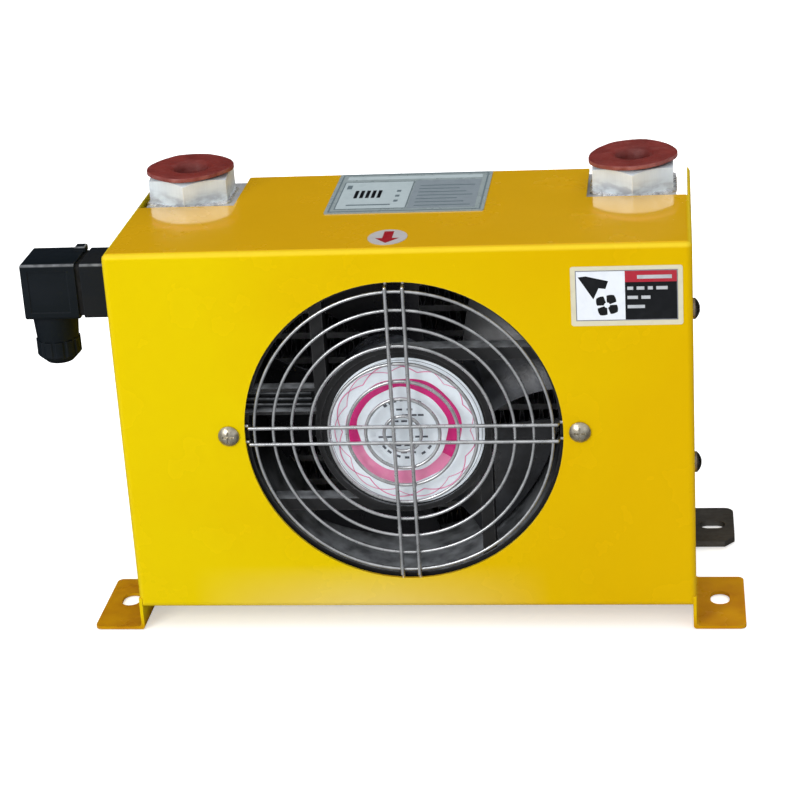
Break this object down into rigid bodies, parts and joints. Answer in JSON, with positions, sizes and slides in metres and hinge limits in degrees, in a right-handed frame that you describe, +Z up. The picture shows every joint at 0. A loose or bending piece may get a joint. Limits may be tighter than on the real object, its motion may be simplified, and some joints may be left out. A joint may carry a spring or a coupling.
{
  "type": "hydraulic oil cooler",
  "caption": "Air-blast oil cooler: folded sheet shroud with an axial fan and wire guard in front, finned oil core behind, capped hexagonal ports on top and a square plug connector.",
  "frame": {"origin": "on the mounting plane, midway between the two rear fixing slots", "axes": "+Z up, -Y towards the fan's side, +X to the right when facing the fan"},
  "size_m": [0.3384, 0.1304, 0.2024],
  "materials": {
    "yellow_paint": "glossy chrome-yellow enamel",
    "core_aluminium": "brazed, dull",
    "fin_aluminium": "thin bright sheet",
    "lug_aluminium": "mill finish, dull grey",
    "port_aluminium": "machined and wiped",
    "red_plastic": "soft brick-red polyethylene",
    "fan_black": "black die-cast, semi-matte",
    "rotor_black": "black",
    "blade_black": "black, semi-matte",
    "silicon_steel": "laminated",
    "copper_wire": "varnished copper",
    "bearing_steel": "ground",
    "guard_chrome": "bright plated wire",
    "label_paper": "white coated paper",
    "lead_pvc": "wire insulation",
    "connector_black": "moulded nylon, satin",
    "gland_black": "moulded nylon",
    "terminal_grey": "moulded insulator",
    "black_rubber": "matte",
    "contact_brass": "tin-plated",
    "zinc_steel": "zinc-plated",
    "screw_zinc": "zinc-plated, slightly dull",
    "sticker_vinyl": "printed vinyl",
    "plate_aluminium": "printed plate",
    "arrow_vinyl": "printed vinyl"
  },
  "bodies": {
    "housing": {"airflow_sticker": "arrow_vinyl", "base_gasket": "black_rubber", "base_nuts": "zinc_steel", "base_screws": "zinc_steel", "connector_base": "connector_black", "contact_pins": "contact_brass", "cooling_fins": "fin_aluminium", "core_brackets": "zinc_steel", "core_plates": "core_aluminium", "core_tank_left": "core_aluminium", "core_tank_right": "core_aluminium", "fan_frame": "fan_black", "fan_label": "label_paper", "fan_leads": "lead_pvc", "fan_shroud": "yellow_paint", "finger_guard": "guard_chrome", "front_sticker": "sticker_vinyl", "guard_nuts": "zinc_steel", "guard_screws": "screw_zinc", "motor_bearings": "bearing_steel", "name_plate": "plate_aluminium", "oil_tubes": "core_aluminium", "port_boss_left": "port_aluminium", "port_boss_right": "port_aluminium", "rear_lug_left": "lug_aluminium", "rear_lug_right": "lug_aluminium", "side_nuts": "zinc_steel", "side_screws": "screw_zinc", "stator": "silicon_steel", "stator_windings": "copper_wire", "tank_end_caps": "core_aluminium"},
    "impeller": {"impeller_blades": "blade_black", "rotor_cup": "rotor_black", "rotor_ring": "silicon_steel", "motor_shaft": "bearing_steel"},
    "plug": {"plug_housing": "connector_black", "terminal_block": "terminal_grey", "plug_gasket": "black_rubber", "gland_seal": "black_rubber"},
    "plug_screw": {"plug_screw": "zinc_steel"},
    "gland_nut": {"gland_nut": "gland_black"},
    "port_cap_left": {"port_cap_left": "red_plastic"},
    "port_cap_right": {"port_cap_right": "red_plastic"}
  },
  "joints": [
    {"name": "fan_spin", "type": "hinge", "parent": "housing", "child": "impeller", "pos_m": [0, -0.0845, 0.1005], "axis": [0, -1, 0], "continuous": true},
    {"name": "plug_pull", "type": "slide", "parent": "housing", "child": "plug", "axis": [-1, 0, 0], "range_m": [0, 0.04]},
    {"name": "plug_screw_turn", "type": "hinge", "parent": "plug", "child": "plug_screw", "pos_m": [-0.18, -0.0595, 0.1605], "axis": [-1, 0, 0], "continuous": true},
    {"name": "gland_nut_turn", "type": "hinge", "parent": "plug", "child": "gland_nut", "pos_m": [-0.1705, -0.0595, 0.128], "axis": [0, 0, -1], "continuous": true},
    {"name": "port_cap_left_pull", "type": "slide", "parent": "housing", "child": "port_cap_left", "axis": [0, 0, 1], "range_m": [0, 0.06]},
    {"name": "port_cap_right_pull", "type": "slide", "parent": "housing", "child": "port_cap_right", "axis": [0, 0, 1], "range_m": [0, 0.06]}
  ]
}
